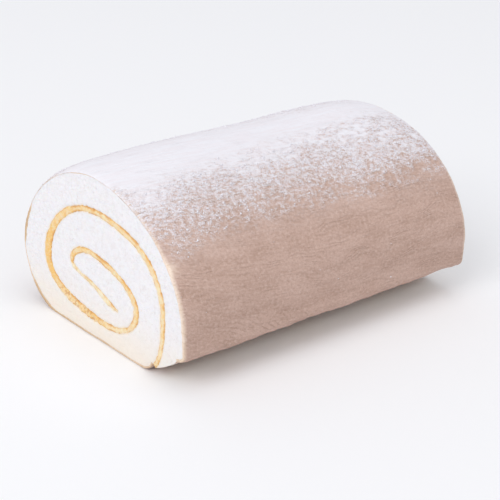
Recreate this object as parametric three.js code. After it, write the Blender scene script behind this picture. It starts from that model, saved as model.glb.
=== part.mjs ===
// A swiss roll cake: one sheet of sponge spread with custard, rolled up and cut square at both ends.
// Units are millimetres, +Z is up, X runs along the roll and the cake rests on its flat base at Z = 0.
// The cross-section is drawn as it looks from the front cut end (-X): u to the right, v up from the base.
import * as THREE from "three";

// Driving dimensions of the roll.
const LENGTH = 162;
const WIDTH = 126;
const HEIGHT = 78;
const WIDEST_LEVEL = 28;

// The crown leans to one side, and its left shoulder is flatter than its right. A fullness of 2 is round.
const CREST_U = -1.6;
const LEFT_SHOULDER_FULLNESS = 1.76;
const RIGHT_SHOULDER_FULLNESS = 1.93;

// The flat base, and the round toe that runs from it up to the seam.
const BASE_LEFT_U = -39;
const BASE_RIGHT_U = 29;
const TOE_CONTROL = new THREE.Vector2(37, 0);

// The sheet's outer end is a flap, which stops above the base with a rounded corner.
const FLAP_SIDE = new THREE.Vector2(62.6, 17.5);
const FLAP_CORNER = new THREE.Vector2(62, 13.4);
const FLAP_FOOT = new THREE.Vector2(57, 13);

// The custard winds round this core. Its reach to the side, its rise, its lean and its thickness are
// [turns, value] stations, counted inwards from the outer end of the sheet.
const CORE = new THREE.Vector2(-2, 27.5);
const OUTER_END = -0.105;
const INNER_END = 1.93;
const SIDE_REACH = [[-0.125, 54.4], [0, 49.4], [0.5, 40.3], [1, 30.2], [1.5, 19.9], [2, 17.1]];
const RISE_REACH = [[-0.125, 43.3], [0.25, 34], [0.75, 17.7], [1.25, 13.3], [1.75, 2.5], [2, 3.4]];
const LEAN = [[-0.125, 0.09], [1, -0.08], [2, -0.39]];
const THICKNESS = [
  [-0.105, 2.4], [0.05, 3.4], [0.27, 2.7], [0.5, 5], [0.68, 4.1], [0.86, 2.3], [1.01, 3.8],
  [1.27, 2.3], [1.42, 3.1], [1.55, 2.1], [1.63, 1.5], [1.82, 3], [1.93, 1.3],
];
const CLEARANCE = 0.3;

// How finely the curves are stepped.
const STEPS_PER_TURN = 32;
const SHOULDER_STEPS = 16;
const CORNER_STEPS = 6;
const LENGTH_STEPS = 12;

// The knife pinches the roll at its cuts, and it swells between them: its sides and crown by a share of their
// reach, and its shoulders by a distance. A pinch fades with the depth behind its cut. The back one presses
// the crown lower than the front cut's and leaves most of the shoulders' swell.
const SIDE_SWELL = 0.009;
const CROWN_SWELL = 0.023;
const SHOULDER_SWELL = 1.8;
const FRONT_PINCH_DEPTH = 5.3;
const BACK_PINCH_DEPTH = 16;
const BACK_CROWN_PINCH = 1.35;
const BACK_SHOULDER_PINCH = 0.25;

// The crown rises and falls along the roll by a share of its swell, and the core drifts off its line.
const CROWN_RIPPLE = 0.25;
const RIPPLES = 1.5;
const RIPPLE_START = -0.93;
const CORE_DRIFT = new THREE.Vector2(3.2, 1.6);
const CORE_DRIFT_WAVES = new THREE.Vector2(0.6, 0.8);

// The value at a number of turns, eased from one station to the next.
function eased(stations, turns) {
  let k = 0;
  while (k < stations.length - 2 && turns >= stations[k + 1][0]) k += 1;
  const [from, low] = stations[k];
  const [to, high] = stations[k + 1];
  return THREE.MathUtils.lerp(low, high, THREE.MathUtils.smoothstep(turns, from, to));
}

// The middle of the custard at a number of turns.
function custardMiddle(turns) {
  const angle = 2 * Math.PI * turns;
  const side = eased(SIDE_REACH, turns) * Math.cos(angle);
  const rise = eased(RISE_REACH, turns) * Math.sin(angle);
  return new THREE.Vector2(CORE.x + side, CORE.y + rise + eased(LEAN, turns) * side);
}

// A point level with the custard's middle, pushed outwards from it by half its thickness plus the clearance.
function custardEdge(turns, side, clearance) {
  const ahead = custardMiddle(turns + 1e-3).sub(custardMiddle(turns - 1e-3)).normalize();
  const outwards = new THREE.Vector2(ahead.y, -ahead.x);
  const reach = eased(THICKNESS, turns) / 2 + clearance;
  return custardMiddle(turns).addScaledVector(outwards, side * reach);
}

// The custard's band from its outer end to its inner tip, as two edges that run inwards.
function custardEdges(clearance) {
  const count = Math.round((INNER_END - OUTER_END) * STEPS_PER_TURN);
  const step = (INNER_END - OUTER_END) / count;
  const turns = Array.from({ length: count + 1 }, (_, i) => OUTER_END + step * i);
  const ahead = custardMiddle(INNER_END).sub(custardMiddle(INNER_END - 1e-3)).normalize();
  return {
    outer: turns.map((t) => custardEdge(t, 1, clearance)),
    inner: turns.map((t) => custardEdge(t, -1, clearance)),
    tip: custardMiddle(INNER_END).addScaledVector(ahead, eased(THICKNESS, INNER_END) / 2 + clearance),
  };
}

// A quarter of a superellipse that starts at an angle in quarter turns from the right, anticlockwise.
function shoulder(centre, reachU, reachV, fullness, quarter) {
  return Array.from({ length: SHOULDER_STEPS + 1 }, (_, i) => {
    const angle = ((quarter + i / SHOULDER_STEPS) * Math.PI) / 2;
    const across = Math.sign(Math.cos(angle)) * Math.abs(Math.cos(angle)) ** (2 / fullness);
    const up = Math.sign(Math.sin(angle)) * Math.abs(Math.sin(angle)) ** (2 / fullness);
    return new THREE.Vector2(centre.x + reachU * across, centre.y + reachV * up);
  });
}

// The sponge sheet: base, toe, the slot that the custard fills, the flap's end, and the crown back down.
function spongeOutline() {
  const { outer, inner, tip } = custardEdges(CLEARANCE);
  const crest = new THREE.Vector2(CREST_U, WIDEST_LEVEL);
  const heel = new THREE.Vector2(BASE_LEFT_U, WIDEST_LEVEL);
  const crown = HEIGHT - WIDEST_LEVEL;
  const toe = new THREE.QuadraticBezierCurve(new THREE.Vector2(BASE_RIGHT_U, 0), TOE_CONTROL, inner[0]);
  const corner = new THREE.QuadraticBezierCurve(FLAP_FOOT, FLAP_CORNER, FLAP_SIDE);
  return [
    ...toe.getPoints(CORNER_STEPS),
    ...inner.slice(1),
    tip,
    ...outer.reverse(),
    ...corner.getPoints(CORNER_STEPS),
    ...shoulder(crest, WIDTH / 2 - CREST_U, crown, RIGHT_SHOULDER_FULLNESS, 0),
    ...shoulder(crest, WIDTH / 2 + CREST_U, crown, LEFT_SHOULDER_FULLNESS, 1).slice(1),
    ...shoulder(heel, WIDTH / 2 + BASE_LEFT_U, WIDEST_LEVEL, 2, 2).slice(1),
  ];
}

// The custard's band.
function custardOutline() {
  const { outer, inner, tip } = custardEdges(0);
  return [...outer, tip, ...inner.reverse()];
}

// How far the roll has swollen from its front cut, from 0 to 1, less what the back cut pinches away.
function swollen(behind, backPinch) {
  const front = 1 - Math.exp(-behind / FRONT_PINCH_DEPTH);
  return front * (1 - backPinch * Math.exp((behind - LENGTH) / BACK_PINCH_DEPTH));
}

// Moves a point of the cross-section by how far behind the front cut it lies. The base stays flat.
function uneven(u, v, behind) {
  const turn = (2 * Math.PI * behind) / LENGTH;
  const across = u / (WIDTH / 2);
  const up = Math.max(0, (v - WIDEST_LEVEL) / (HEIGHT - WIDEST_LEVEL));
  const shoulder = 4 * SHOULDER_SWELL * (across * up) ** 2 * swollen(behind, BACK_SHOULDER_PINCH);
  const ripple = 1 + CROWN_RIPPLE * Math.sin(RIPPLES * turn + RIPPLE_START);
  const crown = CROWN_SWELL * ripple * swollen(behind, BACK_CROWN_PINCH);
  const outwards = Math.hypot(across, (v - HEIGHT / 2) / (HEIGHT / 2));
  const inside = Math.max(0, 1 - outwards * outwards);
  const driftU = CORE_DRIFT.x * inside * Math.sin(CORE_DRIFT_WAVES.x * turn);
  const driftV = CORE_DRIFT.y * inside * Math.sin(CORE_DRIFT_WAVES.y * turn);
  return new THREE.Vector2(
    u * (1 + SIDE_SWELL * swollen(behind, 0)) + shoulder * across + driftU,
    v * (1 + crown) + shoulder * up + driftV,
  );
}

// Runs an outline from the front cut to the back one, with closer steps near the cuts, and lets it swell.
function rolledSolid(outline) {
  const geometry = new THREE.ExtrudeGeometry(new THREE.Shape(outline), {
    depth: LENGTH,
    steps: LENGTH_STEPS,
    bevelEnabled: false,
  });
  geometry.translate(0, 0, -LENGTH);
  const position = geometry.getAttribute("position");
  for (let i = 0; i < position.count; i += 1) {
    const behind = (LENGTH * (1 - Math.cos((-Math.PI * position.getZ(i)) / LENGTH))) / 2;
    const moved = uneven(position.getX(i), position.getY(i), behind);
    position.setXYZ(i, moved.x, moved.y, -behind);
  }
  geometry.computeVertexNormals();
  return geometry;
}

const sponge = new THREE.Mesh(
  rolledSolid(spongeOutline()),
  new THREE.MeshStandardMaterial({ color: 0xf6efe6, roughness: 0.95, metalness: 0 }),
);
sponge.name = "sponge";

const custard = new THREE.Mesh(
  rolledSolid(custardOutline()),
  new THREE.MeshStandardMaterial({ color: 0xf3bf66, roughness: 0.4, metalness: 0 }),
);
custard.name = "custard";

// Turns the cross-section's frame into the part's: u to -Y, v to +Z, and the front cut to -X.
const roll = new THREE.Group();
roll.add(sponge, custard);
roll.setRotationFromMatrix(
  new THREE.Matrix4().makeBasis(
    new THREE.Vector3(0, -1, 0),
    new THREE.Vector3(0, 0, 1),
    new THREE.Vector3(-1, 0, 0),
  ),
);
roll.position.x = -LENGTH / 2;

export default roll;
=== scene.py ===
"""Dresses the swiss roll cake: sponge crumb, browned skin, custard filling and powdered sugar.

The cake is drawn in millimetres in its own section frame, and Roll.place turns that into metres in the
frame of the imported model. In the section frame u runs to the right and v up, as seen from the front cut,
and behind is how far a point lies back from that cut. Along the browned skin, run is the distance from the
foot of the flap, up over the crown and round the heel to the toe under the seam.
"""

from __future__ import annotations

import logging
import math
from abc import ABC, abstractmethod
from collections.abc import Callable, Sequence
from dataclasses import dataclass, field
from enum import Enum
from functools import cached_property, lru_cache
from itertools import combinations

import bpy
import numpy as np
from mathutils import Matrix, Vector
from mathutils.geometry import delaunay_2d_cdt
from mathutils.kdtree import KDTree

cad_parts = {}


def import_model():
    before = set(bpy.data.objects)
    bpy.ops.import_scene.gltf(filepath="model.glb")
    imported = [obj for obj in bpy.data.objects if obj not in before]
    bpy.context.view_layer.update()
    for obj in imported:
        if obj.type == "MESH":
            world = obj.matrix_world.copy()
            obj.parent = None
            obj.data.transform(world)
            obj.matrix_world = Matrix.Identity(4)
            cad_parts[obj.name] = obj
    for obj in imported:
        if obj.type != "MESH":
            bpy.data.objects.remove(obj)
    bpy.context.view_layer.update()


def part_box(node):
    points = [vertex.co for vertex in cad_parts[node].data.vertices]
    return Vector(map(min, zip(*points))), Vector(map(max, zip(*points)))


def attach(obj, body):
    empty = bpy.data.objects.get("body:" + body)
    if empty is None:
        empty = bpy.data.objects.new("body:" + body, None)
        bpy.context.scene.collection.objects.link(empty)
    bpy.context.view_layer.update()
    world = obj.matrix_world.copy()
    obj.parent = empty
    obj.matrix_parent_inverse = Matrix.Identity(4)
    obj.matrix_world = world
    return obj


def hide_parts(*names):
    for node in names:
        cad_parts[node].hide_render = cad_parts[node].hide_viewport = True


LOG = logging.getLogger("swiss_roll")
MM = 0.001
FULL_TURN = 2 * math.pi

Array = np.ndarray
Pair = tuple[float, float]
Stations = tuple[Pair, ...]
Colour = tuple[float, float, float]
Socket = bpy.types.NodeSocket


class Cut(Enum):
    """The two ends of the roll. Each value seeds the knife's marks on that end."""

    FRONT = 11
    BACK = 23


def smooth_step(low: float, high: float, value: Array) -> Array:
    """Eases a value from 0 to 1 between two limits.

    Args:
        low: Where the result leaves 0.
        high: Where the result reaches 1.
        value: The values to ease.

    Returns:
        The eased values.
    """
    part = np.clip((value - low) / (high - low), 0.0, 1.0)
    return part * part * (3.0 - 2.0 * part)


def eased(stations: Stations, turns: Array) -> Array:
    """Reads a value that eases from one station to the next.

    Args:
        stations: Pairs of turns and value, in rising order of turns.
        turns: Where to read it.

    Returns:
        The value at each number of turns.
    """
    places = np.array(stations)
    span = np.clip(np.searchsorted(places[:, 0], turns, side="right") - 1, 0, len(places) - 2)
    low, high = places[span], places[span + 1]
    part = np.clip((turns - low[..., 0]) / (high[..., 0] - low[..., 0]), 0.0, 1.0)
    return low[..., 1] + (high[..., 1] - low[..., 1]) * part * part * (3.0 - 2.0 * part)


def bezier(start: Sequence[float], pull: Sequence[float], end: Sequence[float], count: int) -> Array:
    """Samples a quadratic curve.

    Args:
        start: The curve's first point.
        pull: Its control point.
        end: Its last point.
        count: How many points to return.

    Returns:
        The points, one a row.
    """
    part = np.linspace(0.0, 1.0, count)[:, None]
    pulled = 2 * part * (1 - part) * np.array(pull)
    return (1 - part) ** 2 * np.array(start) + pulled + part**2 * np.array(end)


def distances_along(line: Array) -> Array:
    """Gives how far along a line each of its points lies."""
    return np.r_[0.0, np.cumsum(np.linalg.norm(np.diff(line, axis=0), axis=1))]


def nearest(points: Array, line: Array) -> tuple[Array, Array]:
    """Finds the nearest point of a line for each of some points.

    Args:
        points: The points (u, v), one a row.
        line: The line's points.

    Returns:
        The number of that point in the line, and the distance to it.
    """
    tree = KDTree(len(line))
    for number, (u, v) in enumerate(line):
        tree.insert((u, v, 0.0), number)
    tree.balance()
    found = [tree.find((u, v, 0.0)) for u, v in points]
    return np.array([number for _, number, _ in found]), np.array([away for _, _, away in found])


def distance_to(points: Array, line: Array, closed: bool = False, step: float = 0.1) -> Array:
    """Measures how far points lie from a line.

    Args:
        points: The points (u, v), one a row.
        line: The line's points.
        closed: Whether the line's end joins its start.
        step: How closely the line is stepped.

    Returns:
        The distance of each point.
    """
    ends = np.concatenate([line, line[:1]]) if closed else line
    gone = distances_along(ends)
    steps = np.arange(0.0, gone[-1], step)
    return nearest(points, np.stack([np.interp(steps, gone, ends[:, k]) for k in (0, 1)], -1))[1]


def inside_loop(points: Array, loop: Array) -> Array:
    """Tells which points lie inside a closed outline.

    Args:
        points: The points (u, v), one a row.
        loop: The outline's points.

    Returns:
        True or False for each point.
    """
    inside = np.zeros(len(points), bool)
    for start, end in zip(loop, np.roll(loop, -1, axis=0)):
        if start[1] == end[1]:
            continue
        level = (start[1] > points[:, 1]) != (end[1] > points[:, 1])
        reach = (end[0] - start[0]) * (points[:, 1] - start[1]) / (end[1] - start[1]) + start[0]
        inside ^= level & (points[:, 0] < reach)
    return inside


def triangulated(loop: Array, spacing: float, seed: int) -> tuple[Array, list[list[int]]]:
    """Fills a closed outline with triangles of an even size.

    Args:
        loop: The outline's points (u, v), anticlockwise.
        spacing: The distance between the points inside.
        seed: Sets how those points are jittered.

    Returns:
        All points, the outline's own first and in order, and the triangles.
    """
    jitter_share, clear_share, tolerance, inside_only = 0.2, 0.55, 1e-6, 1
    low, high = loop.min(axis=0), loop.max(axis=0)
    rows = np.arange(low[1], high[1], spacing * math.sqrt(3) / 2)
    columns = np.arange(low[0], high[0], spacing)
    u, v = np.meshgrid(columns, rows)
    u = u + spacing / 2 * (np.arange(len(rows)) % 2)[:, None]
    jitter = np.random.default_rng(seed).uniform(-jitter_share, jitter_share, (2, *u.shape)) * spacing
    inner = np.stack([u + jitter[0], v + jitter[1]], -1).reshape(-1, 2)
    inner = inner[inside_loop(inner, loop)]
    inner = inner[distance_to(inner, loop, closed=True) > clear_share * spacing]
    points = np.concatenate([loop, inner])
    outline = [list(range(len(loop)))]
    made = delaunay_2d_cdt([Vector(p) for p in points], [], outline, inside_only, tolerance, True)
    corners, triangles, origins = made[0], made[2], made[3]
    assert len(corners) == len(points), "the outline crosses itself"
    order = np.array([source[0] for source in origins])
    faces = order[np.array(triangles)]
    faces = faces[inside_loop(points[faces].mean(axis=1), loop)]
    return points, faces.tolist()


class Noise:
    """Smooth seeded noise over a plane."""

    KNOTS = 256
    OFFSET_X = 17.3
    OFFSET_Y = -9.1
    SPOT_SIZE = (0.25, 0.3)
    SPOT_ROW = 91

    def __init__(self, seed: int) -> None:
        """Draws the values at the knots.

        Args:
            seed: Sets the draw.
        """
        draw = np.random.default_rng(seed)
        self.knots = draw.uniform(-1.0, 1.0, (self.KNOTS, self.KNOTS))
        self.across = draw.uniform(0.0, 1.0, (self.KNOTS, self.KNOTS))
        self.along = draw.uniform(0.0, 1.0, (self.KNOTS, self.KNOTS))

    def at(self, x: Array, y: Array) -> Array:
        """Reads the noise, from -1 to 1, with knots one unit apart.

        Args:
            x: First coordinate.
            y: Second coordinate.

        Returns:
            The noise at each point.
        """
        column, row = np.floor(x).astype(int), np.floor(y).astype(int)
        a, b = x - column, y - row
        a = a * a * a * (a * (a * 6 - 15) + 10)
        b = b * b * b * (b * (b * 6 - 15) + 10)
        left, right = column % self.KNOTS, (column + 1) % self.KNOTS
        low, high = row % self.KNOTS, (row + 1) % self.KNOTS
        lower = self.knots[left, low] * (1 - a) + self.knots[right, low] * a
        upper = self.knots[left, high] * (1 - a) + self.knots[right, high] * a
        return lower * (1 - b) + upper * b

    def layered(self, x: Array, y: Array, layers: int) -> Array:
        """Adds finer noise at half the size and half the height, several times.

        Args:
            x: First coordinate.
            y: Second coordinate.
            layers: How many sizes to add.

        Returns:
            The noise at each point, from about -1 to 1.
        """
        total = np.zeros(np.broadcast(x, y).shape)
        for layer in range(layers):
            scale = 2.0**layer
            total += self.at(x * scale + self.OFFSET_X * layer, y * scale + self.OFFSET_Y * layer) / scale
        return total / (2.0 - 2.0 ** (1 - layers))

    def spots(self, x: Array, y: Array, share: float) -> Array:
        """Scatters round spots of uneven size, at most one to a unit square.

        Args:
            x: First coordinate.
            y: Second coordinate.
            share: The share of squares that hold a spot.

        Returns:
            How deep each point lies in a spot, from 0 outside to 1 in the middle.
        """
        least, spread = self.SPOT_SIZE
        column, row = np.floor(x).astype(int), np.floor(y).astype(int)
        deepest = np.zeros(np.broadcast(x, y).shape)
        for i in (-1, 0, 1):
            for j in (-1, 0, 1):
                a, b = (column + i) % self.KNOTS, (row + j) % self.KNOTS
                size = least + spread * (self.knots[a, b] * 0.5 + 0.5)
                away = np.hypot(column + i + self.across[a, b] - x, row + j + self.along[a, b] - y)
                held = self.knots[(a + self.SPOT_ROW) % self.KNOTS, b] * 0.5 + 0.5 < share
                spot = 1.0 - smooth_step(0.0, 1.0, away / size)
                deepest = np.maximum(deepest, np.where(held, spot, 0.0))
        return deepest


@lru_cache(maxsize=None)
def noise_of(seed: int) -> Noise:
    """Gives the noise of a seed, drawn once."""
    return Noise(seed)


@dataclass(frozen=True)
class Bumps:
    """Smooth bumps and dips spread over a surface: their seed, height, size, layers and shift."""

    seed: int
    height: float
    size: Pair
    layers: int = 2
    shift: Pair = (0.0, 0.0)

    def at(self, x: Array, y: Array | float = 0.0, reseed: int = 0) -> Array:
        """Gives their height.

        Args:
            x: First coordinate.
            y: Second coordinate.
            reseed: Added to the seed, to draw them anew.

        Returns:
            The height at each point, from about -height to height.
        """
        column, row = x / self.size[0] + self.shift[0], y / self.size[1] + self.shift[1]
        return self.height * noise_of(self.seed + reseed).layered(column, row, self.layers)


@dataclass(frozen=True)
class Pores:
    """Round hollows scattered over a surface: their seed, depth, size, how many there are, and shift."""

    seed: int
    depth: float
    size: float
    share: float
    shift: Pair = (0.0, 0.0)

    def at(self, x: Array, y: Array, reseed: int = 0) -> Array:
        """Gives their depth.

        Args:
            x: First coordinate.
            y: Second coordinate.
            reseed: Added to the seed, to draw them anew.

        Returns:
            The depth at each point.
        """
        column, row = x / self.size + self.shift[0], y / self.size + self.shift[1]
        return self.depth * noise_of(self.seed + reseed).spots(column, row, self.share)


@dataclass(frozen=True)
class Window:
    """A range of values that fades in from start to full, and out again from fade to end."""

    start: float
    full: float
    fade: float
    end: float

    def at(self, value: Array) -> Array:
        """Gives how far each value is inside, from 0 to 1."""
        return smooth_step(self.start, self.full, value) * smooth_step(self.end, self.fade, value)


@dataclass(frozen=True)
class Swirl:
    """The path and thickness of the custard, in turns counted inwards from the sheet's outer end."""

    core: Pair = (-2.0, 27.5)
    outer_end: float = -0.105
    inner_end: float = 1.93
    side_reach: Stations = (
        (-0.125, 54.4), (0.0, 49.4), (0.5, 40.3), (1.0, 30.2), (1.5, 19.9), (2.0, 17.1),
    )
    rise_reach: Stations = (
        (-0.125, 43.3), (0.25, 34.0), (0.75, 17.7), (1.25, 13.3), (1.75, 2.5), (2.0, 3.4),
    )
    lean: Stations = ((-0.125, 0.09), (1.0, -0.08), (2.0, -0.39))
    thickness: Stations = (
        (-0.105, 2.4), (0.05, 3.4), (0.27, 2.7), (0.5, 5.0), (0.68, 4.1), (0.86, 2.3), (1.01, 3.8),
        (1.27, 2.3), (1.42, 3.1), (1.55, 2.1), (1.63, 1.5), (1.82, 3.0), (1.93, 1.3),
    )
    slow_stray: Bumps = Bumps(40, 0.32, (3.6, 1.0))
    slow_row: float = 5.5
    quick_stray: Bumps = Bumps(50, 0.26, (1.3, 1.0))
    quick_row: float = 2.5
    tip_taper: float = 0.03
    shrink: float = 0.06
    path_points: int = 4000

    def middle(self, turns: Array) -> Array:
        """Gives the middle of the custard.

        Args:
            turns: Where along the swirl.

        Returns:
            The points (u, v), one a row.
        """
        angle = FULL_TURN * turns
        side = eased(self.side_reach, turns) * np.cos(angle)
        rise = eased(self.rise_reach, turns) * np.sin(angle)
        return np.stack([self.core[0] + side, self.core[1] + rise + eased(self.lean, turns) * side], -1)

    def edge(self, turns: Array, side: int, extra: Array | float = 0.0) -> Array:
        """Gives one edge of the custard's band.

        Args:
            turns: Where along the swirl.
            side: 1 for the outer edge and -1 for the inner one.
            extra: How much further out than half the thickness.

        Returns:
            The points (u, v), one a row.
        """
        step = 1e-3
        ahead = self.middle(turns + step) - self.middle(turns - step)
        ahead /= np.linalg.norm(ahead, axis=-1, keepdims=True)
        outwards = np.stack([ahead[..., 1], -ahead[..., 0]], -1)
        reach = eased(self.thickness, turns) / 2 + extra
        return self.middle(turns) + outwards * (side * reach)[..., None]

    def ragged_edge(self, turns: Array, side: int, extra: float = 0.0) -> Array:
        """Gives one edge of the custard's band as it shows at a cut, strayed from its mean line.

        Args:
            turns: Where along the swirl.
            side: 1 for the outer edge and -1 for the inner one.
            extra: How much further out it lies.

        Returns:
            The points (u, v), one a row.
        """
        along = self.length_to(turns)
        stray = self.slow_stray.at(along, self.slow_row * side, side)
        stray += self.quick_stray.at(along, self.quick_row * side, side)
        stray *= smooth_step(self.inner_end, self.inner_end - self.tip_taper, turns)
        return self.edge(turns, side, stray - self.shrink + extra)

    @cached_property
    def path(self) -> tuple[Array, Array]:
        """Fine steps of turns from the outer end to the inner one, and how far along each of them lies."""
        turns = np.linspace(self.outer_end, self.inner_end, self.path_points)
        return turns, distances_along(self.middle(turns))

    def even_turns(self, spacing: float) -> Array:
        """Steps along the swirl at an even distance.

        Args:
            spacing: The distance between steps in millimetres.

        Returns:
            The number of turns at each step, from the outer end to the inner one.
        """
        turns, gone = self.path
        steps = int(round(gone[-1] / spacing)) + 1
        return np.interp(np.linspace(0.0, gone[-1], steps), gone, turns)

    def length_to(self, turns: Array) -> Array:
        """Gives how far along the custard some turns lie, in millimetres from its outer end."""
        return np.interp(turns, *self.path)


@dataclass(frozen=True)
class Roll:
    """The form of the whole roll, which every piece is built on."""

    length: float
    width: float = 126.0
    height: float = 78.0
    widest_level: float = 28.0
    crest_u: float = -1.6
    left_fullness: float = 1.76
    right_fullness: float = 1.93
    base_left: float = -39.0
    base_right: float = 29.0
    toe_pull: Pair = (37.0, 0.0)
    flap_side: Pair = (62.6, 17.5)
    flap_corner: Pair = (62.0, 13.4)
    flap_foot: Pair = (57.0, 13.0)
    side_swell: float = 0.009
    crown_swell: float = 0.023
    shoulder_swell: float = 1.8
    front_pinch_depth: float = 5.3
    back_pinch_depth: float = 16.0
    back_crown_pinch: float = 1.35
    back_shoulder_pinch: float = 0.25
    crown_ripple: float = 0.25
    ripples: float = 1.5
    ripple_start: float = -0.93
    core_drift: Pair = (3.2, 1.6)
    core_drift_waves: Pair = (0.6, 0.8)
    gap: float = 0.3
    flap_across: Pair = (48.0, 57.0)
    flap_up: Pair = (25.0, 13.5)
    flap_waves: tuple[Bumps, Bumps] = (
        Bumps(31, 1.0, (31.0, 1.0), 3, (0.0, 8.5)),
        Bumps(32, 0.35, (3.4, 1.0), 2, (0.0, 8.5)),
    )
    knife_wave: Bumps = Bumps(0, 0.28, (16.0, 16.0))
    corner_reach: float = 0.8
    curve_points: int = 400
    corner_points: int = 60
    wall_steps: int = 15
    swirl: Swirl = field(default_factory=Swirl)

    def shoulder(
        self, centre_u: float, reach_u: float, reach_v: float, fullness: float, quarter: int
    ) -> Array:
        """Samples a quarter of a superellipse round the widest level.

        Args:
            centre_u: The middle of the superellipse.
            reach_u: Its half width.
            reach_v: Its half height.
            fullness: Its exponent, 2 for an ellipse.
            quarter: Which quarter, anticlockwise from the right.

        Returns:
            The points (u, v), one a row.
        """
        angle = (quarter + np.linspace(0.0, 1.0, self.curve_points)) * math.pi / 2
        across = np.sign(np.cos(angle)) * np.abs(np.cos(angle)) ** (2 / fullness)
        up = np.sign(np.sin(angle)) * np.abs(np.sin(angle)) ** (2 / fullness)
        return np.stack([centre_u + reach_u * across, self.widest_level + reach_v * up], -1)

    @cached_property
    def skin_path(self) -> Array:
        """The browned skin's section, from the flap's foot over the crown and round to the seam's lip.

        Returns:
            The points (u, v), one a row.
        """
        half, crown = self.width / 2, self.height - self.widest_level
        lip = self.swirl.edge(np.array([self.swirl.outer_end]), -1, self.gap)[0]
        return np.concatenate(
            [
                bezier(self.flap_foot, self.flap_corner, self.flap_side, self.corner_points)[:-1],
                self.shoulder(self.crest_u, half - self.crest_u, crown, self.right_fullness, 0),
                self.shoulder(self.crest_u, half + self.crest_u, crown, self.left_fullness, 1)[1:],
                self.shoulder(self.base_left, half + self.base_left, self.widest_level, 2.0, 2)[1:],
                bezier((self.base_right, 0.0), self.toe_pull, lip, self.corner_points),
            ]
        )

    @cached_property
    def skin_runs(self) -> Array:
        """The run at each point of skin_path."""
        return distances_along(self.skin_path)

    @property
    def skin_length(self) -> float:
        """The whole run of the browned skin."""
        return float(self.skin_runs[-1])

    @cached_property
    def crest_run(self) -> float:
        """The run at the crest."""
        return self.run_at(self.crest_u, self.height)

    @cached_property
    def heel_run(self) -> float:
        """The run where the hidden side meets the base."""
        return self.run_at(self.base_left, 0.0)

    @cached_property
    def toe_run(self) -> float:
        """The run where the base ends and the toe starts."""
        return self.run_at(self.base_right, 0.0)

    def run_at(self, u: float, v: float) -> float:
        """Gives the run of the skin's point nearest to (u, v)."""
        return float(self.skin_runs[np.argmin(np.hypot(*(self.skin_path - (u, v)).T))])

    def skin_point(self, run: Array) -> Array:
        """Gives the skin's points (u, v) at some runs."""
        return np.stack([np.interp(run, self.skin_runs, self.skin_path[:, k]) for k in (0, 1)], -1)

    def skin_outwards(self, run: Array) -> Array:
        """Gives the skin's outward directions, smoothed over its corners.

        Args:
            run: Where along the skin's section.

        Returns:
            The directions (u, v), one a row.
        """
        ahead = self.skin_point(run + self.corner_reach) - self.skin_point(run - self.corner_reach)
        ahead /= np.linalg.norm(ahead, axis=-1, keepdims=True)
        return np.stack([ahead[..., 1], -ahead[..., 0]], -1)

    def wall_stations(self) -> Array:
        """Steps from cut to cut for the hidden walls, closer near the cuts."""
        return self.length * (1 - np.cos(np.linspace(0.0, math.pi, self.wall_steps)[1:-1])) / 2

    def swollen(self, depth: Array, back_pinch: float) -> Array:
        """Tells how far the roll has swollen from its front cut.

        Args:
            depth: How far back from the front cut.
            back_pinch: How much of the swell the back cut pinches away.

        Returns:
            The share of the swell.
        """
        front = 1 - np.exp(-depth / self.front_pinch_depth)
        return front * (1 - back_pinch * np.exp((depth - self.length) / self.back_pinch_depth))

    def place(self, points: Array, behind: Array | float) -> Array:
        """Puts points of the section into the model's frame, moved as the roll swells behind its cuts.

        Args:
            points: The points (u, v), one a row.
            behind: How far back from the front cut each of them lies.

        Returns:
            The points (x, y, z) in metres, one a row.
        """
        u, v = points[..., 0], points[..., 1]
        depth = np.clip(behind, 0.0, self.length)
        turn = FULL_TURN * depth / self.length
        across = u / (self.width / 2)
        up = np.maximum(0.0, (v - self.widest_level) / (self.height - self.widest_level))
        shoulder = 4 * self.shoulder_swell * (across * up) ** 2
        shoulder = shoulder * self.swollen(depth, self.back_shoulder_pinch)
        ripple = 1 + self.crown_ripple * np.sin(self.ripples * turn + self.ripple_start)
        crown = self.crown_swell * ripple * self.swollen(depth, self.back_crown_pinch)
        inside = np.maximum(0.0, 1 - across**2 - (2 * v / self.height - 1) ** 2)
        drift_u, drift_v = (
            drift * inside * np.sin(waves * turn)
            for drift, waves in zip(self.core_drift, self.core_drift_waves)
        )
        moved_u = u * (1 + self.side_swell * self.swollen(depth, 0.0)) + shoulder * across + drift_u
        flap = smooth_step(*self.flap_across, u) * smooth_step(*self.flap_up, v)
        flap_wave = sum(wave.at(depth) for wave in self.flap_waves)
        moved_v = v * (1 + crown) + shoulder * up + drift_v + flap * flap_wave
        x = np.broadcast_to(behind - self.length / 2, u.shape)
        return np.stack([x, -moved_u, moved_v], -1) * MM

    def cut_behind(self, cut: Cut, points: Array, height: Array | float) -> Array:
        """Gives how far back points of a cut lie, on the knife's slow waves.

        Args:
            cut: Which end of the roll.
            points: The points (u, v), one a row.
            height: How far each of them stands out from the wavy cut.

        Returns:
            How far behind the front cut's plane each of them lies.
        """
        wave = self.knife_wave.at(points[..., 0], points[..., 1], cut.value)
        return -wave - height if cut is Cut.FRONT else self.length + wave + height


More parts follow.
